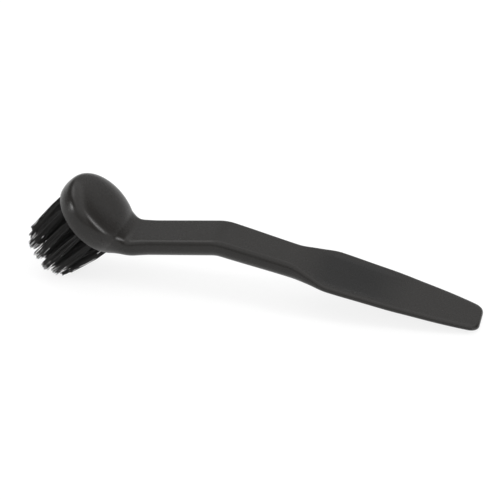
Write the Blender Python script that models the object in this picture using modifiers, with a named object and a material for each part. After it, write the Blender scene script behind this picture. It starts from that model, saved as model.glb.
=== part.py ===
"""Coffee grinder brush: a moulded plastic handle with a round tilted head, and nylon tufts
stapled into the head, each folded round its own flat metal anchor.

Run it with: blender --background --python part.py

Lengths are in metres. Everything is modelled in the head's own frame: the flat bristle face lies in
the plane z = 0, the bristles point along -Z and the handle leaves towards +X. An empty then sets the
brush down on a table, on the ends of its rear bristles and the heel of its handle.
"""

import math
import random

import bmesh
import bpy
from mathutils import Matrix, Vector

# Head, a turned button with a flat bristle face and a low crown
rim_radius = 0.0150
head_radius = 0.0155
head_widest_height = 0.0037
head_height = 0.0100
rim_fillet = 0.0005
head_roundness = 3.5
head_steps = 60
crown_points = 10
wall_points = 4
fillet_points = 3

# Sections of the stem, which is the neck and the handle: width across Y, thickness, how far the rounded
# upper edges reach across and fall, and how far the rounded lower edges reach across and rise. The shank
# is the part between the bend and the grip
root_width = 0.0198
root_thickness = 0.0073
root_edge = 0.0026
root_fall = 0.0022
root_reach = 0.0040
root_rise = 0.0045
neck_width = 0.0178
neck_thickness = 0.0070
neck_edge = 0.0021
neck_fall = 0.0021
neck_reach = 0.0038
neck_rise = 0.0043
shank_width = 0.0166
shank_thickness = 0.0066
shank_edge = 0.0021
shank_fall = 0.0021
shank_reach = 0.0038
shank_rise = 0.0041
grip_width = 0.0264
grip_thickness = 0.0040
grip_edge = 0.0012
grip_fall = 0.0006
grip_reach = 0.0100
grip_rise = 0.0030
end_width = 0.0149
end_thickness = 0.0031
end_edge = 0.0036
end_fall = 0.0006
end_reach = 0.0060
end_rise = 0.0022
end_corner_radius = 0.0034
end_edge_radius = 0.0010
dish_depth = 0.00055
# Share of a thickness or a half width that its rounded edges may take
curved_share = 0.92
# Where the grip swells and tapers: share of the handle's length, share of the way from the shank's
# section to the grip's, share of the way from there to the end's, share of the dish's depth
grip_shares = ((0.275, 0.00, 0.00, 0.00), (0.352, 0.48, 0.00, 0.30), (0.435, 1.00, 0.00, 0.90),
               (0.560, 1.00, 0.09, 1.00), (0.660, 1.00, 0.17, 0.50), (0.750, 1.00, 0.33, 0.00),
               (0.850, 1.00, 0.52, 0.00), (0.940, 1.00, 0.77, 0.00), (1.000, 1.00, 1.00, 0.00))
# Where the points of the dished top stand, as shares of its half width
top_shares = (0.0, 0.40, 0.75, 1.0)
top_corner_steps = 4
lower_corner_steps = 5

# Spine of the stem, in the XZ plane. It starts inside the head, just above the bristle face
root_cover = 0.0002
root_height = root_cover + root_thickness / 2
root_start_share = 0.42
root_start_x = root_start_share * rim_radius
neck_corner_inset = 0.0014
neck_corner_x = rim_radius - neck_corner_inset
root_bend_radius = 0.0120
neck_angle = math.radians(53.0)
neck_length = 0.0374
flare_length = 0.0060
bend_radius = 0.0130
bend_angle = math.radians(19.9)
handle_length = 0.0977
root_steps = 7
flare_steps = 4
bend_steps = 5
grip_steps = 15
end_steps = 5

# Tufts, in rings about the head's axis: name, ring radius, number of tufts
hole_radius = 0.00115
hole_depth = 0.0052
clearance = 0.00015
rim_land = 0.00175
ring_spacing = 0.0047
outer_ring_radius = rim_radius - rim_land - hole_radius
middle_ring_radius = outer_ring_radius - ring_spacing
inner_ring_radius = middle_ring_radius - ring_spacing
tuft_rings = (("outer", outer_ring_radius, 14), ("middle", middle_ring_radius, 9), ("inner", inner_ring_radius, 3))
ring_turn_share = 0.5
tuft_sides = 12

# Strands of a tuft: circles of strands inside the hole, radius and number. Their tips spread, and lean
# in towards the head's axis
bristle_length = 0.0228
strand_radius = 0.00015
strand_tip_radius = 0.00012
strand_sides = 4
strand_wall = 0.0001
core_circle_share = 0.37
outer_circle_radius = hole_radius - clearance - strand_wall - strand_radius
strand_circles = ((outer_circle_radius * core_circle_share, 4), (outer_circle_radius, 10))
strand_root_overlap = 0.0007
tip_spread_share = 1.85
tip_field_share = 0.80
tip_unevenness = 0.0014
tip_seed = 7

# Anchor, a flat wire driven across the hole. The tuft is folded over it, towards the hole's bottom
anchor_length = 0.0029
anchor_height = 0.0014
anchor_thickness = 0.0004
fold_thickness = 0.0004
packed_radius = hole_radius - clearance
packed_length = hole_depth - clearance
anchor_depth = packed_length - fold_thickness - clearance - anchor_height / 2

# How far a cutter runs past the face it opens, and how close points must be to be one
overrun = 0.0010
weld_distance = 0.00001

PLASTIC = {"name": "handle_plastic", "color": (0.022, 0.0215, 0.021, 1.0), "roughness": 0.42, "metallic": 0.0}
NYLON = {"name": "bristle_nylon", "color": (0.008, 0.0075, 0.0074, 1.0), "roughness": 0.50, "metallic": 0.0}
BRASS = {"name": "anchor_brass", "color": (0.60, 0.43, 0.18, 1.0), "roughness": 0.35, "metallic": 1.0}


def clear_scene():
    for obj in list(bpy.data.objects):
        bpy.data.objects.remove(obj)


def new_collection(name):
    collection = bpy.data.collections.new(name)
    bpy.context.scene.collection.children.link(collection)
    return collection


def new_material(look):
    material = bpy.data.materials.new(look["name"])
    material.use_nodes = True
    shader = material.node_tree.nodes["Principled BSDF"]
    shader.inputs["Base Color"].default_value = look["color"]
    shader.inputs["Roughness"].default_value = look["roughness"]
    shader.inputs["Metallic"].default_value = look["metallic"]
    return material


def new_object(name, mesh, collection, material=None):
    obj = bpy.data.objects.new(name, mesh)
    collection.objects.link(obj)
    if material and not mesh.materials:
        mesh.materials.append(material)
    return obj


def make_helper(obj):
    """Marks an object as a cutter or an operand, which isn't a piece of the brush."""
    obj.hide_render = True
    obj.display_type = "WIRE"
    return obj


def mesh_from(fill, name):
    """A mesh made by a function that fills a bmesh."""
    shape = bmesh.new()
    fill(shape)
    bmesh.ops.recalc_face_normals(shape, faces=shape.faces)
    mesh = bpy.data.meshes.new(name)
    shape.to_mesh(mesh)
    shape.free()
    return mesh


def add_boolean(obj, operation, operand):
    modifier = obj.modifiers.new(operation.lower(), "BOOLEAN")
    modifier.operation = operation
    modifier.solver = "EXACT"
    if isinstance(operand, bpy.types.Collection):
        modifier.operand_type = "COLLECTION"
        modifier.collection = operand
    else:
        modifier.object = operand


def evaluated_mesh(obj, name):
    """The object's mesh with its modifiers applied, in its own coordinates."""
    graph = bpy.context.evaluated_depsgraph_get()
    mesh = bpy.data.meshes.new_from_object(obj.evaluated_get(graph))
    mesh.name = name
    return mesh


def head_profile():
    """The head's outline from the top of the crown to the middle of the bristle face."""
    points = []
    crown_rise = head_height - head_widest_height
    for i in range(crown_points):
        angle = 0.5 * math.pi * i / (crown_points - 1)
        radius = head_radius * math.sin(angle) ** (2.0 / head_roundness)
        height = head_widest_height + crown_rise * max(math.cos(angle), 0.0) ** (2.0 / head_roundness)
        points.append((radius, height))
    for i in range(1, wall_points + 1):
        drop = i / wall_points
        height = head_widest_height + (rim_fillet - head_widest_height) * drop
        points.append((head_radius - (head_radius - rim_radius) * drop ** 2, height))
    for i in range(1, fillet_points + 1):
        angle = 0.5 * math.pi * i / fillet_points
        points.append((rim_radius - rim_fillet * (1.0 - math.cos(angle)), rim_fillet * (1.0 - math.sin(angle))))
    points.append((0.0, 0.0))
    return points


def make_head(collection, material):
    mesh = bpy.data.meshes.new("handle")
    points = head_profile()
    mesh.from_pydata([(radius, 0.0, height) for radius, height in points],
                     [(i, i + 1) for i in range(len(points) - 1)], [])
    head = new_object("handle", mesh, collection, material)
    screw = head.modifiers.new("turned", "SCREW")
    screw.steps = head_steps
    screw.render_steps = head_steps
    screw.use_merge_vertices = True
    screw.merge_threshold = weld_distance
    return head


def spine_runs():
    """The spine as runs of (length, turn), a turn of 0 being straight, from inside the head to the end."""
    root_tangent = root_bend_radius * math.tan(neck_angle / 2)
    bend_tangent = bend_radius * math.tan(bend_angle / 2)
    return ((neck_corner_x - root_tangent - root_start_x, 0.0),
            (root_bend_radius * neck_angle, neck_angle),
            (neck_length - root_tangent - bend_tangent, 0.0),
            (bend_radius * bend_angle, -bend_angle),
            (handle_length - bend_tangent, 0.0))


def spine_at(distance):
    """Point and direction angle of the spine at a distance from its start."""
    place = Vector((root_start_x, 0.0, root_height))
    heading = 0.0
    for length, turn in spine_runs():
        step = min(distance, length)
        turned = turn * step / length
        chord = step * (math.sin(turned / 2) / (turned / 2) if turned else 1.0)
        middle = heading + turned / 2
        place = place + chord * Vector((math.cos(middle), 0.0, math.sin(middle)))
        heading += turned
        distance -= step
        if distance <= 0.0:
            break
    return place, heading


def spine_length():
    return sum(length for length, turn in spine_runs())


def blend(first, second, share):
    return [a + (b - a) * share for a, b in zip(first, second)]


def section_stations():
    """(distance along the spine, *section, dish share) where the section is set."""
    root = (root_width, root_thickness, root_edge, root_fall, root_reach, root_rise)
    neck = (neck_width, neck_thickness, neck_edge, neck_fall, neck_reach, neck_rise)
    shank = (shank_width, shank_thickness, shank_edge, shank_fall, shank_reach, shank_rise)
    grip = (grip_width, grip_thickness, grip_edge, grip_fall, grip_reach, grip_rise)
    end = (end_width, end_thickness, end_edge, end_fall, end_reach, end_rise)
    runs = spine_runs()
    root_end = runs[0][0] + runs[1][0]
    wall = runs[0][0] + runs[1][0] / 2
    neck_end = spine_length() - handle_length
    stations = [(0.0, *root, 0.0), (wall, *root, 0.0),
                (root_end + flare_length, *neck, 0.0), (neck_end, *neck, 0.0)]
    for along, swell, taper, dish in grip_shares:
        section = blend(blend(shank, grip, swell), end, taper)
        stations.append((neck_end + handle_length * along, *section, dish))
    return stations


def smooth_value(places, values, at):
    """Monotone cubic through the values, so that a level stretch stays level."""
    spans = [b - a for a, b in zip(places, places[1:])]
    slopes = [(b - a) / span for a, b, span in zip(values, values[1:], spans)]
    tangents = [slopes[0]]
    for before, after in zip(slopes, slopes[1:]):
        level = before * after <= 0.0
        tangents.append(0.0 if level else 2.0 * before * after / (before + after))
    tangents.append(slopes[-1])
    i = max(0, min(len(spans) - 1, sum(place <= at for place in places) - 1))
    t = (at - places[i]) / spans[i]
    return ((2 * t ** 3 - 3 * t ** 2 + 1) * values[i] + (t ** 3 - 2 * t ** 2 + t) * spans[i] * tangents[i]
            + (3 * t ** 2 - 2 * t ** 3) * values[i + 1] + (t ** 3 - t ** 2) * spans[i] * tangents[i + 1])


def corner_loss(left, radius):
    """How much a rounded corner takes off at this distance before the end."""
    if left >= radius:
        return 0.0
    return radius - math.sqrt(radius ** 2 - (radius - left) ** 2)


def section_size(distance):
    """The section's sizes and the dish's share at a distance along the spine."""
    places, *columns = zip(*section_stations())
    sizes = [smooth_value(places, values, distance) for values in columns]
    left = max(spine_length() - distance, 0.0)
    sizes[0] -= 2 * corner_loss(left, end_corner_radius)
    sizes[1] -= 2 * corner_loss(left, end_edge_radius)
    return sizes


def half_section(distance):
    """Half of the section, as (across, above) from the middle of its top to the middle of its underside."""
    width, thickness, edge, fall, reach, rise, dish = section_size(distance)
    side, top = width / 2, thickness / 2
    low = -thickness / 2
    shrink = min(1.0, curved_share * thickness / (fall + rise))
    fall, rise = fall * shrink, rise * shrink
    edge, reach = min(edge, curved_share * side), min(reach, curved_share * side)
    points = []
    for share in top_shares:
        points.append((share * (side - edge), top - dish * dish_depth * (1.0 - share ** 2)))
    for i in range(1, top_corner_steps + 1):
        angle = 0.5 * math.pi * i / top_corner_steps
        points.append((side - edge + edge * math.sin(angle), top - fall + fall * math.cos(angle)))
    for i in range(lower_corner_steps + 1):
        angle = 0.5 * math.pi * i / lower_corner_steps
        points.append((side - reach + reach * math.cos(angle), low + rise - rise * math.sin(angle)))
    points.append((0.0, low))
    return points


def section_ring(distance):
    """Points round the stem's section, which stands square to the spine."""
    place, heading = spine_at(distance)
    up = Vector((-math.sin(heading), 0.0, math.cos(heading)))
    half = half_section(distance)
    outline = half + [(-across, above) for across, above in half[-2:0:-1]]
    return [place + Vector((0.0, across, 0.0)) + up * above for across, above in outline]


def ring_distances():
    """Where along the spine the stem has its sections: close together where it bends or changes."""
    runs = spine_runs()
    ends = [sum(length for length, turn in runs[:i + 1]) for i in range(len(runs))]
    neck_end = spine_length() - handle_length
    grip_start = neck_end + handle_length * grip_shares[0][0]
    end_start = spine_length() - end_corner_radius
    flare_step = flare_length / flare_steps
    distances = [0.0]
    for start, stop, steps in ((runs[0][0], ends[1], root_steps),
                               (ends[1] + flare_step, ends[1] + flare_length, flare_steps),
                               (ends[2], ends[3], bend_steps),
                               (grip_start, end_start, grip_steps)):
        distances += [start + (stop - start) * i / (steps - 1) for i in range(steps)]
    for i in range(1, end_steps + 1):
        distances.append(end_start + end_corner_radius * math.sin(0.5 * math.pi * i / end_steps))
    return distances


def make_stem(collection):
    """Neck and grip, lofted through their sections."""
    def fill(shape):
        rings = [[shape.verts.new(point) for point in section_ring(distance)] for distance in ring_distances()]
        for ring, following in zip(rings, rings[1:]):
            for i in range(len(ring)):
                j = (i + 1) % len(ring)
                shape.faces.new((ring[i], ring[j], following[j], following[i]))
        shape.faces.new(reversed(rings[0]))
        shape.faces.new(rings[-1])

    return make_helper(new_object("stem", mesh_from(fill, "stem"), collection))


def tuft_places():
    """(ring name, number in the ring, ring radius, angle about the head's axis) of each tuft."""
    for ring, radius, count in tuft_rings:
        for i in range(count):
            yield ring, i + 1, radius, 2 * math.pi * (i + ring_turn_share) / count


def place_on_head(obj, radius, angle):
    """Puts an object at its tuft's place, with its X axis pointing away from the head's axis."""
    obj.matrix_world = Matrix.Rotation(angle, 4, "Z") @ Matrix.Translation((radius, 0.0, 0.0))


def fill_cylinder(shape, radius, low, high, sides):
    matrix = Matrix.Translation((0.0, 0.0, (low + high) / 2)) @ Matrix.Rotation(math.pi / sides, 4, "Z")
    bmesh.ops.create_cone(shape, cap_ends=True, segments=sides, radius1=radius, radius2=radius,
                          depth=high - low, matrix=matrix)


def fill_box(shape, size, centre):
    bmesh.ops.create_cube(shape, size=1.0, matrix=Matrix.Translation(centre) @ Matrix.Diagonal((*size, 1.0)))


def anchor_box(gap, length):
    """Size and centre of the anchor grown by a gap, in its tuft's frame. It lies square to the radius."""
    return ((anchor_thickness + 2 * gap, length, anchor_height + 2 * gap), (0.0, 0.0, anchor_depth))


def make_hole_cutters(collection):
    """The drilled holes, each with the nicks that its anchor bites into the plastic."""
    hole = mesh_from(lambda shape: fill_cylinder(shape, hole_radius, -overrun, hole_depth, tuft_sides), "hole")
    nick_size = anchor_box(clearance, anchor_length + 2 * clearance)
    nick = mesh_from(lambda shape: fill_box(shape, *nick_size), "nick")
    for ring, number, radius, angle in tuft_places():
        for name, mesh in (("hole", hole), ("nick", nick)):
            cutter = new_object(f"cut_{name}_{ring}_{number:02d}", mesh, collection)
            place_on_head(make_helper(cutter), radius, angle)


def make_handle(collection, cutters, holes, material):
    """The one moulding: head, neck and grip, with its drilled holes."""
    handle = make_head(collection, material)
    add_boolean(handle, "UNION", make_stem(cutters))
    add_boolean(handle, "DIFFERENCE", holes)
    moulding = evaluated_mesh(handle, "handle")
    handle.modifiers.clear()
    handle.data = moulding
    moulding.shade_smooth()
    moulding.set_sharp_from_angle(angle=math.radians(35))
    return handle


def strand_ends(ring_radius, chance):
    """Root and tip of each strand of a tuft. The tips fan out, and lean in towards the head's axis."""
    lean = ring_radius * (tip_field_share - 1.0)
    for circle_radius, count in strand_circles:
        for i in range(count):
            angle = 2 * math.pi * (i + 0.5) / count
            offset = circle_radius * Vector((math.cos(angle), math.sin(angle), 0.0))
            tip = offset * tip_spread_share + Vector((lean, 0.0, -bristle_length + tip_unevenness * chance.random()))
            root = Vector((offset.x, offset.y, 0.0))
            yield root, tip


def fill_strands(shape, ring_radius):
    chance = random.Random(tip_seed)
    for root, tip in strand_ends(ring_radius, chance):
        along = (tip - root).normalized()
        start = root - along * strand_root_overlap
        turn = along.to_track_quat("Z", "Y").to_matrix().to_4x4()
        matrix = Matrix.Translation((start + tip) / 2) @ turn
        bmesh.ops.create_cone(shape, cap_ends=True, segments=strand_sides, radius1=strand_radius,
                              radius2=strand_tip_radius, depth=(tip - start).length, matrix=matrix)


def tuft_mesh(ring, radius, cutters, material):
    """One tuft: its packed root, which fills the hole, the strands fused to it, and the anchor's window."""
    root = mesh_from(lambda shape: fill_cylinder(shape, packed_radius, 0.0, packed_length, tuft_sides), "packed_root")
    tuft = make_helper(new_object("packed_root", root, cutters, material))
    strands = mesh_from(lambda shape: fill_strands(shape, radius), "strands")
    window_size = anchor_box(clearance, 2 * (packed_radius + overrun))
    window = mesh_from(lambda shape: fill_box(shape, *window_size), "window")
    helpers = [make_helper(new_object(name, mesh, cutters)) for name, mesh in (("strands", strands), ("window", window))]
    add_boolean(tuft, "UNION", helpers[0])
    add_boolean(tuft, "DIFFERENCE", helpers[1])
    mesh = evaluated_mesh(tuft, f"tuft_{ring}")
    for helper in (tuft, *helpers):
        bpy.data.objects.remove(helper)
    return mesh


def make_tufts(collection, cutters, material):
    meshes = {ring: tuft_mesh(ring, radius, cutters, material) for ring, radius, count in tuft_rings}
    for ring, number, radius, angle in tuft_places():
        place_on_head(new_object(f"tuft_{ring}_{number:02d}", meshes[ring], collection, material), radius, angle)


def make_anchors(collection, material):
    size = anchor_box(0.0, anchor_length)
    mesh = mesh_from(lambda shape: fill_box(shape, *size), "anchor")
    for ring, number, radius, angle in tuft_places():
        place_on_head(new_object(f"anchor_{ring}_{number:02d}", mesh, collection, material), radius, angle)


def world_points(objects):
    return [obj.matrix_world @ vertex.co for obj in objects for vertex in obj.data.vertices]


def level_angle(points):
    """How far the brush turns about Y to rest on its bristles and its heel: the slope of its lower side,
    from the bristle tip under which no other point lies to the heel under which none lies."""
    split = neck_corner_x + neck_length * math.cos(neck_angle)
    tips = [point for point in points if point.x < split]
    heels = [point for point in points if point.x >= split]
    heading = neck_angle - bend_angle
    for repeat in range(3):
        down = Vector((math.sin(heading), 0.0, -math.cos(heading)))
        tip = max(tips, key=down.dot)
        heel = max(heels, key=down.dot)
        heading = math.atan2(heel.z - tip.z, heel.x - tip.x)
    return heading


def set_down(collection):
    """Turns the brush to its rest pose, with its origin under the middle of its box."""
    pieces = list(collection.objects)
    rest = bpy.data.objects.new("brush", None)
    collection.objects.link(rest)
    bpy.context.view_layer.update()
    turn = Matrix.Rotation(level_angle(world_points(pieces)), 4, "Y")
    turned = [turn @ point for point in world_points(pieces)]
    middle = [(min(p[axis] for p in turned) + max(p[axis] for p in turned)) / 2 for axis in (0, 1)]
    rest.matrix_world = Matrix.Translation((-middle[0], -middle[1], -min(p.z for p in turned))) @ turn
    for piece in pieces:
        piece.parent = rest


def main():
    clear_scene()
    brush = new_collection("coffee_grinder_brush")
    cutters = new_collection("cutters")
    holes = new_collection("hole_cutters")
    make_hole_cutters(holes)
    make_handle(brush, cutters, holes, new_material(PLASTIC))
    make_tufts(brush, cutters, new_material(NYLON))
    make_anchors(brush, new_material(BRASS))
    set_down(brush)


main()
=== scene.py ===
"""Looks of the coffee grinder brush: its moulded handle, nylon tufts and anchor wires, drawn finely
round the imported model, with a pale table, soft lamps and a camera at the photograph's angle.

Lengths are in metres. The pieces are made in the head's own frame, where the flat bristle face lies in
the plane z = 0, the bristles point along -Z and the handle leaves towards +X.
"""

import math
import random

import bmesh
import bpy
import numpy as np
from mathutils import Matrix, Vector
from mathutils.bvhtree import BVHTree


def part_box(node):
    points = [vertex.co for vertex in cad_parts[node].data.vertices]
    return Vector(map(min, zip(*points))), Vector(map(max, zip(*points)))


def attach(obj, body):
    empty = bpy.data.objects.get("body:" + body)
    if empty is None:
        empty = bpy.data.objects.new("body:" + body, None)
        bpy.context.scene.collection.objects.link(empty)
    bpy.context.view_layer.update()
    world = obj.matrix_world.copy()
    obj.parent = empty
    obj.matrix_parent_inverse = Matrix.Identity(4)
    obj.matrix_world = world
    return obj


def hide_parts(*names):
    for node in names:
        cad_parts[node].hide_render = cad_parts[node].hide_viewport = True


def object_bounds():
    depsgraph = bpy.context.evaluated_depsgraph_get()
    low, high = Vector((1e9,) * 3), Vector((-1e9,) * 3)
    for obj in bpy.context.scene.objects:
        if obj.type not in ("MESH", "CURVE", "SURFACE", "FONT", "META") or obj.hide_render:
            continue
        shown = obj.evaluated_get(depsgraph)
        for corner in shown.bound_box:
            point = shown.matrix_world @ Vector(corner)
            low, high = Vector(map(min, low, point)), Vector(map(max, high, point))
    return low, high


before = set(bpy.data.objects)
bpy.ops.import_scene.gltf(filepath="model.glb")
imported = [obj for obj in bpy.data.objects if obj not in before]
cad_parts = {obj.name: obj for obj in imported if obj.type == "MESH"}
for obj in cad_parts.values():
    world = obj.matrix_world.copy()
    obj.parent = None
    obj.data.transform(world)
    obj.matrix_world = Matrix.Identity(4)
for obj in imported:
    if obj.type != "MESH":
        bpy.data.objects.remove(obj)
cad_low, cad_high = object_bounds()

# Head, a turned button with a flat bristle face and a low crown
rim_radius = 0.0150
head_radius = 0.0155
head_widest_height = 0.0037
head_height = 0.0100
rim_fillet = 0.0005
head_roundness = 3.5
head_steps = 180
crown_points = 48
wall_points = 8
fillet_points = 5

# Sections of the stem: width across Y, thickness, how far the rounded upper edges reach across and down,
# and how far the rounded lower edges reach across and up
root_section = (0.0198, 0.0073, 0.0026, 0.0022, 0.0040, 0.0045)
neck_section = (0.0178, 0.0070, 0.0021, 0.0021, 0.0038, 0.0043)
shank_section = (0.0166, 0.0066, 0.0021, 0.0021, 0.0038, 0.0041)
grip_section = (0.0264, 0.0040, 0.0012, 0.0006, 0.0100, 0.0030)
end_section = (0.0149, 0.0031, 0.0036, 0.0006, 0.0060, 0.0022)
end_corner_radius = 0.0034
end_edge_radius = 0.0010
dish_depth = 0.00055
dish_rim_share = 0.90
dish_edge_share = 0.16
dish_step_share = 0.35
curved_share = 0.92
# Where the grip swells and tapers: share of the handle's length, share of the way from the shank's
# section to the grip's, share of the way from there to the end's, share of the dish's depth
grip_shares = ((0.275, 0.00, 0.00, 0.00), (0.352, 0.48, 0.00, 0.30), (0.435, 1.00, 0.00, 0.90),
               (0.560, 1.00, 0.09, 1.00), (0.660, 1.00, 0.17, 0.50), (0.750, 1.00, 0.33, 0.00),
               (0.850, 1.00, 0.52, 0.00), (0.940, 1.00, 0.77, 0.00), (1.000, 1.00, 1.00, 0.00))
top_points = 14
edge_points = 9
lower_points = 10

# Spine of the stem, in the XZ plane
root_height = 0.00385
root_start_share = 0.42
root_start_x = root_start_share * rim_radius
neck_corner_x = 0.0136
root_bend_radius = 0.0120
neck_angle = math.radians(53.0)
neck_length = 0.0374
flare_length = 0.0060
bend_radius = 0.0130
bend_angle = math.radians(19.9)
handle_length = 0.0977
ring_step = 0.0009
fine_ring_step = 0.0004
end_rings = 8

# How the head and the neck run into each other: reach of the hollow between them, where it starts and
# where it has its full reach, and its reach at the bristle face
melt_reach = 0.0030
melt_start_x = 0.0060
melt_full_x = 0.0115
face_melt = 0.0003

# The fine skin over them: its grid, the passes that draw it onto the shape, the least squared slope that
# a pass divides by, how far along the neck it ends, and the least radius that has a direction
skin_step = 0.00028
skin_passes = 5
skin_least_slope = 0.2
skin_end_share = 0.45
axis_gap = 0.000001

# From this angle on, the handle's edges look sharp
handle_sharp_angle = math.radians(35)

# Holes drilled into the bristle face
hole_radius = 0.00115
hole_depth = 0.0052
hole_chamfer = 0.00012
hole_sides = 40
overrun = 0.0010

# Tufts, in rings about the head's axis: name, ring radius, number of tufts
tuft_rings = (("outer", 0.0121, 14), ("middle", 0.0074, 9), ("inner", 0.0027, 3))
ring_turn_share = 0.5

# Filaments, each folded once round its anchor. They stand close-packed in the hole
bristle_length = 0.0234
filament_radius = 0.00012
filament_sides = 5
filament_pitch = 0.00024
filament_row_angle = math.radians(60)
packed_radius = 0.00100
free_shares = (0.0, 0.08, 0.20, 0.42, 0.70, 1.0)
flare_power = 6.0
fold_steps = 4
filament_sharp_angle = math.radians(60)
tip_field_share = 0.79
tip_spread_share = 2.08
tip_turn = math.radians(5.0)
tip_point_drop = 0.0002
tuft_unevenness = 0.0009
filament_unevenness = 0.0010
filament_stray = 0.00014
filament_bow = 0.00065
tuft_sway = 0.0004
bristle_seed = 11

# Anchor, a flat wire driven across the hole
anchor_length = 0.0029
anchor_height = 0.0014
anchor_thickness = 0.0004
anchor_bevel = 0.00007
anchor_bevel_steps = 3
anchor_depth = 0.0038
fold_rise = 0.00048
fold_least_rise = 0.00016

# Satin plastic: its two shades, the dish's painted shade, its polish, and the clouding and grain that vary
# them
plastic_shades = ((0.0134, 0.0122, 0.0111, 1.0), (0.0161, 0.0147, 0.0134, 1.0))
# Painted shade: a much darker colour painted into the thumb's dish
dish_painted_shade = (0.0010, 0.0009, 0.0008, 1.0)
plastic_index = 1.39
plastic_roughness = 0.22
cloud_scale = 160.0
cloud_roughness = 0.05
grain_scale = 4200.0
grain_roughness = 0.05
grain_strength = 0.12
grain_depth = 0.00003

# Black nylon: its two shades, its polish, and the streaks and specks that vary them
nylon_shades = ((0.009, 0.0085, 0.0083, 1.0), (0.018, 0.0170, 0.0166, 1.0))
nylon_index = 1.32
nylon_roughness = 0.40
streak_scale = 2600.0
streak_roughness = 0.16
speck_scale = 900.0
speck_roughness = 0.06

# Drawn brass: its bright and its dull shade, its polish, and the tarnish that varies them
brass_shades = ((0.66, 0.47, 0.20, 1.0), (0.50, 0.35, 0.15, 1.0))
brass_roughness = 0.28
tarnish_scale = 1500.0
tarnish_roughness = 0.16

# Camera, as the photograph has it: direction and distance, focal length and middle in its pixels
camera_azimuth = math.radians(14.21)
camera_elevation = math.radians(30.97)
camera_distance = 0.70
camera_focal = 1939.7
camera_middle = (252.3, 247.7)
photo_size = 500.0
sensor_width = 36.0
camera_near = 0.01
camera_far = 20.0

# The pale table, a disc, and the low wall round it: their shade as light falls on them, and the shade and
# glow that make them white to the camera and in reflections. The room glows faintly
table_radius = 2.5
table_sides = 96
wall_height = 0.45
table_shade = (0.80, 0.80, 0.80, 1.0)
seen_shade = (0.22, 0.22, 0.22, 1.0)
seen_glow = 0.83
white = (1.0, 1.0, 1.0, 1.0)
room_glow = 0.22

# Lamps: azimuth and elevation of the middle, angle across and angle up, all in degrees, and glow
lamp_distance = 1.6
lamps = (("back", 180.0, 26.5, (66.0, 21.0), 0.285),
         ("window", 166.0, 32.0, (32.0, 20.0), 0.15),
         ("high", 248.0, 58.0, (34.0, 28.0), 1.20),
         ("front", -10.0, 32.0, (70.0, 28.0), 0.55),
         ("right", 84.0, 34.0, (12.0, 38.0), 9.0),
         ("left", -66.0, 20.0, (14.0, 12.0), 10.5),
         ("top", 180.0, 87.0, (66.0, 94.0), 1.05))


def blend(first, second, share):
    return [a + (b - a) * share for a, b in zip(first, second)]


def smooth_step(share):
    """Eases from 0 to 1, level at both ends."""
    return share ** 2 * (3.0 - 2.0 * share)


def box_middle(node):
    low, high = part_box(node)
    return (low + high) / 2


def head_frame():
    """The head's own frame, found from the outer ring's anchors, which stand in a circle about its axis."""
    count = tuft_rings[0][2]
    middles = [box_middle(f"anchor_outer_{i + 1:02d}") for i in range(count)]
    middle = sum(middles, Vector()) / count
    forward = sum((point - middle for point in (middles[0], middles[-1])), Vector()).normalized()
    across = Vector((0.0, 1.0, 0.0))
    up = forward.cross(across).normalized()
    frame = Matrix((forward, across, up)).transposed().to_4x4()
    return Matrix.Translation(middle - up * anchor_depth) @ frame


def head_profile():
    """The head's outline from the top of the crown to the middle of the bristle face."""
    points = []
    crown_rise = head_height - head_widest_height
    for i in range(crown_points):
        angle = 0.5 * math.pi * i / (crown_points - 1)
        radius = head_radius * math.sin(angle) ** (2.0 / head_roundness)
        height = head_widest_height + crown_rise * max(math.cos(angle), 0.0) ** (2.0 / head_roundness)
        points.append((radius, height))
    for i in range(1, wall_points + 1):
        drop = i / wall_points
        height = head_widest_height + (rim_fillet - head_widest_height) * drop
        points.append((head_radius - (head_radius - rim_radius) * drop ** 2, height))
    for i in range(1, fillet_points + 1):
        angle = 0.5 * math.pi * i / fillet_points
        radius = rim_radius - rim_fillet * (1.0 - math.cos(angle))
        points.append((radius, rim_fillet * (1.0 - math.sin(angle))))
    points.append((0.0, 0.0))
    return points


def spine_runs():
    """The spine as runs of (length, turn), a turn of 0 being straight, from inside the head to the end."""
    root_tangent = root_bend_radius * math.tan(neck_angle / 2)
    bend_tangent = bend_radius * math.tan(bend_angle / 2)
    return ((neck_corner_x - root_tangent - root_start_x, 0.0),
            (root_bend_radius * neck_angle, neck_angle),
            (neck_length - root_tangent - bend_tangent, 0.0),
            (bend_radius * bend_angle, -bend_angle),
            (handle_length - bend_tangent, 0.0))


def along_spine(heading):
    """The direction of a spine that runs at this angle."""
    return Vector((math.cos(heading), 0.0, math.sin(heading)))


def above_spine(heading):
    """The direction square to it, towards the handle's upper side."""
    return Vector((-math.sin(heading), 0.0, math.cos(heading)))


def spine_at(distance):
    """Point and direction angle of the spine at a distance from its start."""
    place = Vector((root_start_x, 0.0, root_height))
    heading = 0.0
    for length, turn in spine_runs():
        step = min(distance, length)
        turned = turn * step / length
        chord = step * (math.sin(turned / 2) / (turned / 2) if turned else 1.0)
        middle = heading + turned / 2
        place = place + chord * along_spine(middle)
        heading += turned
        distance -= step
        if distance <= 0.0:
            break
    return place, heading


def spine_length():
    return sum(length for length, turn in spine_runs())


def handle_start():
    """How far along the spine the handle's own length starts, which is near the middle of its bend."""
    return spine_length() - handle_length


def root_end():
    """How far along the spine the bend beside the head ends."""
    return sum(length for length, turn in spine_runs()[:2])


def section_stations():
    """(distance along the spine, *section, dish share) where the section is set."""
    runs = spine_runs()
    wall = runs[0][0] + runs[1][0] / 2
    neck_end = handle_start()
    stations = [(0.0, *root_section, 0.0), (wall, *root_section, 0.0),
                (root_end() + flare_length, *neck_section, 0.0), (neck_end, *neck_section, 0.0)]
    for along, swell, taper, dish in grip_shares:
        section = blend(blend(shank_section, grip_section, swell), end_section, taper)
        stations.append((neck_end + handle_length * along, *section, dish))
    return stations


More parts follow.
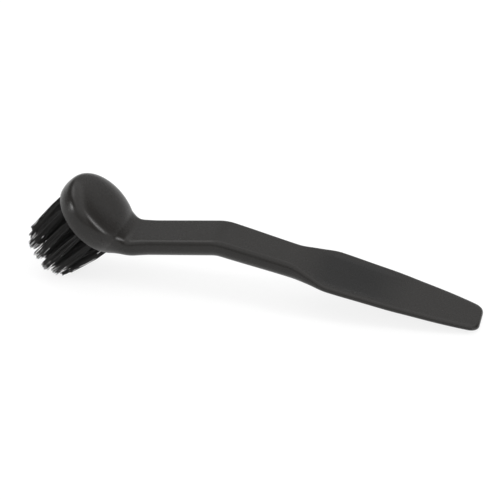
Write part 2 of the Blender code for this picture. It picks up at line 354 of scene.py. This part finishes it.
def smooth_value(places, values, at):
    """Monotone cubic through the values, so that a level stretch stays level."""
    spans = [b - a for a, b in zip(places, places[1:])]
    slopes = [(b - a) / span for a, b, span in zip(values, values[1:], spans)]
    tangents = [slopes[0]]
    for before, after in zip(slopes, slopes[1:]):
        level = before * after <= 0.0
        tangents.append(0.0 if level else 2.0 * before * after / (before + after))
    tangents.append(slopes[-1])
    i = max(0, min(len(spans) - 1, sum(place <= at for place in places) - 1))
    t = (at - places[i]) / spans[i]
    return ((2 * t ** 3 - 3 * t ** 2 + 1) * values[i] + (t ** 3 - 2 * t ** 2 + t) * spans[i] * tangents[i]
            + (3 * t ** 2 - 2 * t ** 3) * values[i + 1] + (t ** 3 - t ** 2) * spans[i] * tangents[i + 1])


def corner_loss(left, radius):
    """How much a rounded corner takes off at this distance before the end."""
    if left >= radius:
        return 0.0
    return radius - math.sqrt(radius ** 2 - (radius - left) ** 2)


def section_size(distance):
    """The section's sizes and the dish's share at a distance along the spine."""
    places, *columns = zip(*section_stations())
    sizes = [smooth_value(places, values, distance) for values in columns]
    left = max(spine_length() - distance, 0.0)
    sizes[0] -= 2 * corner_loss(left, end_corner_radius)
    sizes[1] -= 2 * corner_loss(left, end_edge_radius)
    return sizes


def dish_drop(share):
    """How deep the thumb's dish is at a share of the half width, as a share of its depth. It has a narrow
    level rim, and a rounded step down from it."""
    inside = 1.0 - share / dish_rim_share
    if inside <= 0.0:
        return 0.0
    step = smooth_step(min(1.0, inside / dish_edge_share))
    return dish_step_share * step + (1.0 - dish_step_share) * (1.0 - (share / dish_rim_share) ** 2)


def half_section(distance):
    """Half of the section, as (across, above) from the middle of its top to the middle of its underside."""
    width, thickness, edge, fall, reach, rise, dish = section_size(distance)
    side, top = width / 2, thickness / 2
    low = -thickness / 2
    shrink = min(1.0, curved_share * thickness / (fall + rise))
    fall, rise = fall * shrink, rise * shrink
    edge, reach = min(edge, curved_share * side), min(reach, curved_share * side)
    points = []
    for i in range(top_points):
        share = i / (top_points - 1)
        points.append((share * (side - edge), top - dish * dish_depth * dish_drop(share)))
    for i in range(1, edge_points + 1):
        angle = 0.5 * math.pi * i / edge_points
        points.append((side - edge + edge * math.sin(angle), top - fall + fall * math.cos(angle)))
    for i in range(lower_points + 1):
        angle = 0.5 * math.pi * i / lower_points
        points.append((side - reach + reach * math.cos(angle), low + rise - rise * math.sin(angle)))
    points.append((0.0, low))
    return points


def section_ring(distance):
    """Points round the stem's section, which stands square to the spine."""
    place, heading = spine_at(distance)
    up = above_spine(heading)
    half = half_section(distance)
    outline = half + [(-across, above) for across, above in half[-2:0:-1]]
    return [place + Vector((0.0, across, 0.0)) + up * above for across, above in outline]


def add_skin(shape, rings, near_cap=True):
    """Adds faces from each ring of points to the next and over the last one, and with near_cap over the
    first."""
    for ring, following in zip(rings, rings[1:]):
        for i in range(len(ring)):
            j = (i + 1) % len(ring)
            shape.faces.new((ring[i], ring[j], following[j], following[i]))
    if near_cap:
        shape.faces.new(reversed(rings[0]))
    shape.faces.new(rings[-1])


def add_stem(shape, distances, near_cap=True):
    """Adds the stem through its sections at these distances, closed at the far end."""
    rings = [[shape.verts.new(point) for point in section_ring(distance)] for distance in distances]
    add_skin(shape, rings, near_cap)


def even_steps(start, stop, step):
    count = max(1, round((stop - start) / step))
    return [start + (stop - start) * i / count for i in range(count + 1)]


def mesh_object(name, shape):
    """An object of a finished bmesh, which is freed."""
    mesh = bpy.data.meshes.new(name)
    shape.to_mesh(mesh)
    shape.free()
    obj = bpy.data.objects.new(name, mesh)
    bpy.context.scene.collection.objects.link(obj)
    return obj


def with_modifiers(obj):
    """The object's mesh with its modifiers applied."""
    graph = bpy.context.evaluated_depsgraph_get()
    mesh = bpy.data.meshes.new_from_object(obj.evaluated_get(graph))
    obj.modifiers.clear()
    obj.data = mesh
    return obj


def add_head(shape):
    """Adds the turned head."""
    rings = []
    profile = head_profile()
    top = shape.verts.new((0.0, 0.0, profile[0][1]))
    bottom = shape.verts.new((0.0, 0.0, profile[-1][1]))
    for radius, height in profile[1:-1]:
        ring = []
        for i in range(head_steps):
            angle = 2 * math.pi * i / head_steps
            ring.append(shape.verts.new((radius * math.cos(angle), radius * math.sin(angle), height)))
        rings.append(ring)
    for i in range(head_steps):
        j = (i + 1) % head_steps
        shape.faces.new((top, rings[0][i], rings[0][j]))
        shape.faces.new((bottom, rings[-1][j], rings[-1][i]))
        for ring, following in zip(rings, rings[1:]):
            shape.faces.new((ring[i], following[i], following[j], ring[j]))


def head_distance(points):
    """Signed distance of each point from the turned head, and the direction away from it."""
    radius = np.hypot(points[:, 0], points[:, 1])
    flat = np.stack((radius, points[:, 2]), axis=1)
    profile = np.array(head_profile())
    least = np.full(len(points), np.inf)
    away = np.zeros_like(flat)
    sign = np.ones(len(points))
    for start, end in zip(profile, profile[1:]):
        run = end - start
        share = np.clip(((flat - start) @ run) / (run @ run), 0.0, 1.0)
        gap = flat - start - share[:, None] * run
        distance = np.hypot(gap[:, 0], gap[:, 1])
        facing = np.array((-run[1], run[0])) / math.hypot(*run)
        nearer = distance < least
        least[nearer] = distance[nearer]
        away[nearer] = facing
        sign[nearer] = np.where(gap[nearer] @ facing < 0.0, -1.0, 1.0)
    spread = away[:, 0] / np.maximum(radius, axis_gap)
    direction = np.stack((spread * points[:, 0], spread * points[:, 1], away[:, 1]), axis=1)
    return least * sign, direction


def stem_distance(tree, points):
    """Signed distance of each point from the lofted stem, and the direction away from it."""
    distances = np.zeros(len(points))
    directions = np.zeros_like(points)
    for i, point in enumerate(points):
        place, normal, face, distance = tree.find_nearest(point)
        gap = Vector(point) - place
        distances[i] = math.copysign(distance, gap.dot(normal))
        directions[i] = normal
    return distances, directions


def melted(tree, points):
    """Signed distance from the head and the neck run together, and the direction away from them."""
    head, head_away = head_distance(points)
    stem, stem_away = stem_distance(tree, points)
    ease = np.clip((points[:, 0] - melt_start_x) / (melt_full_x - melt_start_x), 0.0, 1.0)
    reach = face_melt + (melt_reach - face_melt) * smooth_step(ease)
    share = np.clip(0.5 + 0.5 * (stem - head) / reach, 0.0, 1.0)
    value = stem + (head - stem) * share - reach * share * (1.0 - share)
    away = stem_away + (head_away - stem_away) * share[:, None]
    # The hollow never passes the flat bristle face
    below = -points[:, 2]
    share = np.clip(0.5 + 0.5 * (value - below) / face_melt, 0.0, 1.0)
    down = np.array((0.0, 0.0, -1.0))
    flat_value = below + (value - below) * share + face_melt * share * (1.0 - share)
    flat_away = down + (away - down) * share[:, None]
    return flat_value, flat_away


def skin_head(cut):
    """The head and the start of the neck as one smooth skin, up to a distance along the spine, where it is
    open."""
    stem = bmesh.new()
    add_stem(stem, even_steps(0.0, cut + flare_length, fine_ring_step))
    bmesh.ops.recalc_face_normals(stem, faces=stem.faces)
    tree = BVHTree.FromBMesh(stem)
    add_head(stem)
    bmesh.ops.recalc_face_normals(stem, faces=stem.faces)
    obj = mesh_object("skin", stem)
    remesh = obj.modifiers.new("skin", "REMESH")
    remesh.mode = "VOXEL"
    remesh.voxel_size = skin_step
    with_modifiers(obj)
    mesh = obj.data
    points = np.zeros(len(mesh.vertices) * 3)
    mesh.vertices.foreach_get("co", points)
    points = points.reshape(-1, 3)
    edges = np.zeros(len(mesh.edges) * 2, int)
    mesh.edges.foreach_get("vertices", edges)
    edges = edges.reshape(-1, 2)
    for i in range(skin_passes):
        if i:
            points = relaxed(points, edges)
        value, away = melted(tree, points)
        slope = np.maximum((away ** 2).sum(axis=1), skin_least_slope)
        points = points - away * (value / slope)[:, None]
    mesh.vertices.foreach_set("co", points.ravel())
    place, heading = spine_at(cut)
    shape = bmesh.new()
    shape.from_mesh(mesh)
    bmesh.ops.bisect_plane(shape, geom=shape.verts[:] + shape.edges[:] + shape.faces[:], plane_co=place,
                           plane_no=along_spine(heading), clear_outer=True)
    bpy.data.objects.remove(obj)
    return shape


def relaxed(points, edges):
    """Each point moved half way to the middle of its neighbours."""
    total = np.zeros_like(points)
    count = np.zeros(len(points))
    for first, second in ((0, 1), (1, 0)):
        np.add.at(total, edges[:, first], points[edges[:, second]])
        np.add.at(count, edges[:, first], 1.0)
    return 0.5 * points + 0.5 * total / count[:, None]


def tuft_places():
    """(ring name, number in the ring, ring radius, angle about the head's axis) of each tuft."""
    for ring, radius, count in tuft_rings:
        for i in range(count):
            yield ring, i + 1, radius, 2 * math.pi * (i + ring_turn_share) / count


def tuft_matrix(radius, angle):
    """A tuft's frame in the head's, with its X axis pointing away from the head's axis."""
    return Matrix.Rotation(angle, 4, "Z") @ Matrix.Translation((radius, 0.0, 0.0))


def drill_holes(obj):
    """Cuts the tufts' holes into the bristle face, each with a slightly broken edge."""
    shape = bmesh.new()
    outline = ((hole_radius + hole_chamfer + overrun, -overrun), (hole_radius, hole_chamfer),
               (hole_radius, hole_depth))
    for ring, number, radius, angle in tuft_places():
        matrix = tuft_matrix(radius, angle)
        circles = []
        for size, height in outline:
            circle = []
            for i in range(hole_sides):
                turn = 2 * math.pi * i / hole_sides
                point = Vector((size * math.cos(turn), size * math.sin(turn), height))
                circle.append(shape.verts.new(matrix @ point))
            circles.append(circle)
        add_skin(shape, circles)
    bmesh.ops.recalc_face_normals(shape, faces=shape.faces)
    cutter = mesh_object("drill", shape)
    modifier = obj.modifiers.new("holes", "BOOLEAN")
    modifier.operation = "DIFFERENCE"
    modifier.solver = "EXACT"
    modifier.object = cutter
    with_modifiers(obj)
    bpy.data.objects.remove(cutter)


def mark_dish_painted_shade(obj):
    """Marks how far each point lies inside the thumb's dish, for the painted shade in the plastic's colour.
    """
    neck_end = handle_start()
    start_distance = neck_end + bend_radius * bend_angle
    start, heading = spine_at(start_distance)
    along, up = along_spine(heading), above_spine(heading)
    values = []
    for vertex in obj.data.vertices:
        distance = start_distance + (vertex.co - start).dot(along)
        inside = 0.0
        if distance > neck_end and (vertex.co - start).dot(up) > 0.0:
            width, thickness, *edges, dish = section_size(distance)
            inside = dish * dish_mask(abs(vertex.co.y) * 2 / width)
        values.append(inside)
    # This mark is where the plastic's colour gets the dish's painted shade
    mark = obj.data.attributes.new("dish", "FLOAT", "POINT")
    mark.data.foreach_set("value", values)


def dish_mask(share):
    """1 inside the dish and 0 on its rim, at a share of the grip's half width."""
    inside = (dish_rim_share - share) / dish_edge_share
    return max(0.0, min(1.0, inside))


def make_handle():
    """The one moulding: head, neck and grip, with its drilled holes."""
    cut = root_end() + skin_end_share * (handle_start() - root_end())
    shape = skin_head(cut)
    open_edge = [edge for edge in shape.edges if edge.is_boundary]
    known = set(open_edge)
    end_start = spine_length() - end_corner_radius
    distances = even_steps(cut + fine_ring_step, end_start, ring_step)
    for i in range(1, end_rings + 1):
        distances.append(end_start + end_corner_radius * math.sin(0.5 * math.pi * i / end_rings))
    add_stem(shape, distances, near_cap=False)
    first_edge = [edge for edge in shape.edges if edge.is_boundary and edge not in known]
    bmesh.ops.bridge_loops(shape, edges=open_edge + first_edge)
    bmesh.ops.recalc_face_normals(shape, faces=shape.faces)
    print("handle: open edges", sum(edge.is_boundary for edge in shape.edges), "faces", len(shape.faces))
    obj = mesh_object("handle_moulding", shape)
    drill_holes(obj)
    mark_dish_painted_shade(obj)
    obj.data.shade_smooth()
    obj.data.set_sharp_from_angle(angle=handle_sharp_angle)
    return obj


def filament_places():
    """Where filaments stand in the half of a hole beside the anchor, in close-packed rows."""
    places = []
    row_height = filament_pitch * math.sin(filament_row_angle)
    first = anchor_thickness / 2 + filament_pitch / 2
    most = math.ceil(packed_radius / row_height)
    for row in range(most):
        x = first + row * row_height
        for column in range(-most, most + 1):
            y = (column + 0.5 * (row % 2)) * filament_pitch
            if math.hypot(x, y) <= packed_radius - filament_radius:
                places.append((x, y))
    return places


def filament_path(x, y, tips):
    """Middle line of one filament, from one tip up into the hole, round the anchor and out to the other.
    Outside the hole it fans out at once, and runs on almost straight."""
    path = []
    for side, tip in zip((1.0, -1.0), tips):
        root = Vector((side * x, y, 0.0))
        bow, end = tip
        run = []
        for share in free_shares[::-1]:
            flare = (tip_spread_share - 1.0) * (1.0 - (1.0 - share) ** flare_power - share)
            run.append(root + (end - root) * share + root * flare + bow * math.sin(math.pi * share))
        run.append(Vector((side * x, y, anchor_depth)))
        path.append(run)
    top = anchor_depth + anchor_height / 2
    rise = fold_least_rise + (fold_rise - fold_least_rise) * x / packed_radius
    fold = []
    for i in range(fold_steps + 1):
        angle = math.pi * i / fold_steps
        fold.append(Vector((x * math.cos(angle), y, top + rise * math.sin(angle))))
    return path[0] + fold + path[1][::-1]


def add_tube(shape, path, radius, sides):
    """Adds a closed tube along a path."""
    rings = []
    side = Vector((0.0, 1.0, 0.0))
    for i, point in enumerate(path):
        before, after = path[max(i - 1, 0)], path[min(i + 1, len(path) - 1)]
        along = (after - before).normalized()
        normal = side.cross(along).normalized()
        other = along.cross(normal)
        ring = []
        for j in range(sides):
            angle = 2 * math.pi * j / sides
            spoke = math.cos(angle) * normal + math.sin(angle) * other
            ring.append(shape.verts.new(point + radius * spoke))
        rings.append(ring)
    add_skin(shape, rings)


def make_tuft(name, radius, angle, frame, table_height, chance):
    """One tuft of folded filaments. Its tips fan out, lean in towards the head's axis and end unevenly."""
    shape = bmesh.new()
    matrix = frame @ tuft_matrix(radius, angle)
    lean = Vector((radius * (tip_field_share * math.cos(tip_turn) - 1.0),
                   radius * tip_field_share * math.sin(tip_turn), 0.0))
    sway = Vector((chance.uniform(-1, 1), chance.uniform(-1, 1), 0.0)) * tuft_sway
    length = bristle_length - tuft_unevenness * chance.random()
    for x, y in filament_places():
        tips = []
        for side in (1.0, -1.0):
            offset = Vector((side * x, y, 0.0))
            stray = Vector((chance.gauss(0, 1), chance.gauss(0, 1), 0.0)) * filament_stray
            rounding = (math.hypot(x, y) / packed_radius) ** 2
            reach = length - tip_point_drop * rounding - filament_unevenness * chance.random() ** 2
            tip = offset * tip_spread_share + lean + sway + stray + Vector((0.0, 0.0, -reach))
            bow = Vector((chance.uniform(-1, 1), chance.uniform(-1, 1), 0.0)) * filament_bow
            # A tip that would go through the table lies on it
            foot = matrix @ tip
            foot.z = max(foot.z, table_height + filament_radius)
            tips.append((bow, matrix.inverted() @ foot))
        add_tube(shape, filament_path(x, y, tips), filament_radius, filament_sides)
    shape.transform(matrix)
    bmesh.ops.recalc_face_normals(shape, faces=shape.faces)
    obj = mesh_object(name, shape)
    obj.data.shade_smooth()
    obj.data.set_sharp_from_angle(angle=filament_sharp_angle)
    return obj


def make_anchor(name, matrix):
    """One anchor: a short length of flat wire with rounded edges and sheared ends."""
    shape = bmesh.new()
    size = (anchor_thickness, anchor_length, anchor_height)
    bmesh.ops.create_cube(shape, size=1.0, matrix=Matrix.Diagonal((*size, 1.0)))
    for vertex in shape.verts:
        if vertex.co.z < 0.0:
            vertex.co.y *= 1.0 - anchor_bevel / anchor_length
    bmesh.ops.bevel(shape, geom=shape.edges[:], offset=anchor_bevel, segments=anchor_bevel_steps,
                    affect="EDGES", profile=0.5)
    shape.transform(matrix @ Matrix.Translation((0.0, 0.0, anchor_depth)))
    bmesh.ops.recalc_face_normals(shape, faces=shape.faces)
    obj = mesh_object(name, shape)
    obj.data.shade_smooth()
    return obj


class Value:
    """A number, colour or vector that varies over a surface. Arithmetic on it adds Math nodes."""

    def __init__(self, finish, socket):
        self.finish = finish
        self.socket = socket

    def math(self, operation, *operands):
        return self.finish.node("ShaderNodeMath", {"operation": operation}, dict(enumerate(operands)))

    def __add__(self, other):
        return self.math("ADD", self, other)

    def __radd__(self, other):
        return self.math("ADD", other, self)

    def __mul__(self, other):
        return self.math("MULTIPLY", self, other)

    def __rmul__(self, other):
        return self.math("MULTIPLY", other, self)


class Finish:
    """The nodes of one material or world."""

    def __init__(self, owner):
        owner.use_nodes = True
        self.tree = owner.node_tree
        self.tree.nodes.clear()

    def node(self, kind, settings=None, sockets=None, output=0):
        """A node of a kind, with its settings, then the values or links of its sockets. Gives an output."""
        node = self.tree.nodes.new(kind)
        for name, value in (settings or {}).items():
            setattr(node, name, value)
        for name, value in (sockets or {}).items():
            if isinstance(value, Value):
                self.tree.links.new(value.socket, node.inputs[name])
            else:
                node.inputs[name].default_value = value
        return Value(self, node.outputs[output]) if node.outputs else None

    def noise(self, place, scale, detail, roughness=0.5):
        """Noise between 0 and 1, with features about 1 / scale metres wide."""
        return self.node("ShaderNodeTexNoise", {"noise_dimensions": "3D"},
                         {"Vector": place, "Scale": scale, "Detail": detail, "Roughness": roughness})

    def mix_color(self, share, first, second):
        return self.node("ShaderNodeMix", {"data_type": "RGBA"}, {0: share, 6: first, 7: second}, output=2)


def new_finish(name):
    material = bpy.data.materials.new(name)
    return material, Finish(material)


def close_surface(finish, shader):
    finish.node("ShaderNodeOutputMaterial", None, {"Surface": shader})


def satin_plastic():
    """Dark grey moulded plastic: a fine satin grain with faint clouding in its colour and polish. The
    thumb's dish has painted shade: its colour is made much darker there."""
    material, finish = new_finish("satin_plastic")
    place = finish.node("ShaderNodeTexCoord", output="Object")
    cloud = finish.noise(place, cloud_scale, detail=3.0)
    grain = finish.noise(place, grain_scale, detail=2.0, roughness=0.6)
    plain = finish.mix_color(cloud, *plastic_shades)
    # The dish's painted shade: its mark darkens the plastic's colour there
    dish = finish.node("ShaderNodeAttribute", {"attribute_name": "dish"}, output="Fac")
    color = finish.mix_color(dish, plain, dish_painted_shade)
    roughness = plastic_roughness + cloud * cloud_roughness + grain * grain_roughness
    bump = finish.node("ShaderNodeBump", None,
                       {"Strength": grain_strength, "Distance": grain_depth, "Height": grain})
    shader = finish.node("ShaderNodeBsdfPrincipled", None,
                         {"Base Color": color, "Roughness": roughness, "IOR": plastic_index, "Normal": bump})
    close_surface(finish, shader)
    return material


def black_nylon(across, other):
    """Black nylon filament. Its shade and polish run in streaks along the bristles, which stand square to
    these two directions."""
    material, finish = new_finish("black_nylon")
    place = finish.node("ShaderNodeTexCoord", output="Object")
    first, second = (finish.node("ShaderNodeVectorMath", {"operation": "DOT_PRODUCT"},
                                 {0: place, 1: direction}, output="Value") for direction in (across, other))
    flat = finish.node("ShaderNodeCombineXYZ", None, {"X": first, "Y": second})
    streak = finish.noise(flat, streak_scale, detail=1.0)
    speck = finish.noise(place, speck_scale, detail=2.0)
    color = finish.mix_color(streak, *nylon_shades)
    roughness = nylon_roughness + streak * streak_roughness + speck * speck_roughness
    shader = finish.node("ShaderNodeBsdfPrincipled", None,
                         {"Base Color": color, "Roughness": roughness, "IOR": nylon_index})
    close_surface(finish, shader)
    return material


def drawn_brass():
    """Flat brass wire, drawn along its length, a little dulled."""
    material, finish = new_finish("drawn_brass")
    place = finish.node("ShaderNodeTexCoord", output="Object")
    tarnish = finish.noise(place, tarnish_scale, detail=3.0)
    color = finish.mix_color(tarnish, *brass_shades)
    roughness = brass_roughness + tarnish * tarnish_roughness
    shader = finish.node("ShaderNodeBsdfPrincipled", None,
                         {"Base Color": color, "Metallic": 1.0, "Roughness": roughness})
    close_surface(finish, shader)
    return material


def give(obj, material):
    obj.data.materials.clear()
    obj.data.materials.append(material)


def dress(obj, material, node):
    """Gives a piece its material, puts it under the root body and hides the imported node that it stands
    for.
    """
    give(obj, material)
    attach(obj, "root")
    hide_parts(node)


def make_table(height):
    """The pale table. Its white shows to the camera and in reflections, and it keeps the brush's shadow."""
    shape = bmesh.new()
    bmesh.ops.create_circle(shape, cap_ends=True, segments=table_sides, radius=table_radius)
    table = mesh_object("table", shape)
    table.location.z = height
    material, finish = new_finish("pale_table")
    path = finish.node("ShaderNodeLightPath")
    seen = path
    for output in ("Is Glossy Ray", "Is Transmission Ray"):
        seen = seen + Value(finish, path.socket.node.outputs[output])
    plain = finish.node("ShaderNodeBsdfDiffuse", None, {"Color": table_shade})
    shaded = finish.node("ShaderNodeBsdfDiffuse", None, {"Color": seen_shade})
    glow = finish.node("ShaderNodeEmission", None, {"Color": white, "Strength": seen_glow})
    bright = finish.node("ShaderNodeAddShader", None, {0: shaded, 1: glow})
    close_surface(finish, finish.node("ShaderNodeMixShader", None, {"Fac": seen, 1: plain, 2: bright}))
    give(table, material)
    shape = bmesh.new()
    bmesh.ops.create_cone(shape, cap_ends=False, segments=table_sides, radius1=table_radius,
                          radius2=table_radius, depth=wall_height)
    wall = mesh_object("low_wall", shape)
    wall.location.z = height + wall_height / 2
    give(wall, material)


def make_room(strength):
    """A plain pale room."""
    world = bpy.data.worlds.new("room")
    bpy.context.scene.world = world
    finish = Finish(world)
    light = finish.node("ShaderNodeBackground", None, {"Color": white, "Strength": strength})
    finish.node("ShaderNodeOutputWorld", None, {"Surface": light})


def outward(azimuth, elevation):
    """Direction from the brush, azimuth 0 being towards -Y."""
    return Vector((math.sin(azimuth) * math.cos(elevation), -math.cos(azimuth) * math.cos(elevation),
                   math.sin(elevation)))


def place_facing(obj, target, direction, distance):
    """Puts a lamp or the camera into the scene, at a distance from the target and looking at it."""
    bpy.context.scene.collection.objects.link(obj)
    obj.location = target + direction * distance
    obj.rotation_mode = "QUATERNION"
    obj.rotation_quaternion = direction.to_track_quat("Z", "Y")


def add_lamp(name, target, azimuth, elevation, spread, glow):
    """A soft lamp that fills an angle across and one up, as seen from the brush. A glow of 1 is white."""
    data = bpy.data.lights.new(name, "AREA")
    data.shape = "RECTANGLE"
    data.size, data.size_y = (2 * lamp_distance * math.tan(math.radians(angle) / 2) for angle in spread)
    data.energy = glow * math.pi * data.size * data.size_y
    lamp = bpy.data.objects.new(name, data)
    lamp.visible_camera = False
    place_facing(lamp, target, outward(math.radians(azimuth), math.radians(elevation)), lamp_distance)


def add_camera(target):
    data = bpy.data.cameras.new("camera")
    data.sensor_width = sensor_width
    data.lens = camera_focal / photo_size * sensor_width
    data.shift_x = -(camera_middle[0] - photo_size / 2) / photo_size
    data.shift_y = (camera_middle[1] - photo_size / 2) / photo_size
    data.clip_start = camera_near
    data.clip_end = camera_far
    camera = bpy.data.objects.new("camera", data)
    place_facing(camera, target, outward(camera_azimuth, camera_elevation), camera_distance)
    bpy.context.scene.camera = camera


def main():
    frame = head_frame()
    turn = frame.to_3x3()
    chance = random.Random(bristle_seed)

    plastic = satin_plastic()
    nylon = black_nylon(tuple(turn @ Vector((1.0, 0.0, 0.0))), (0.0, 1.0, 0.0))
    brass = drawn_brass()

    handle = make_handle()
    handle.data.transform(frame)
    dress(handle, plastic, "handle")
    for ring, number, radius, angle in tuft_places():
        tuft = make_tuft(f"filaments_{ring}_{number:02d}", radius, angle, frame, cad_low.z, chance)
        dress(tuft, nylon, f"tuft_{ring}_{number:02d}")
        anchor = make_anchor(f"wire_{ring}_{number:02d}", frame @ tuft_matrix(radius, angle))
        dress(anchor, brass, f"anchor_{ring}_{number:02d}")

    middle = (cad_low + cad_high) / 2
    make_table(cad_low.z)
    make_room(room_glow)
    for name, azimuth, elevation, spread, glow in lamps:
        add_lamp(name, middle, azimuth, elevation, spread, glow)
    add_camera(middle)
    bpy.context.scene.view_settings.view_transform = "Standard"


main()
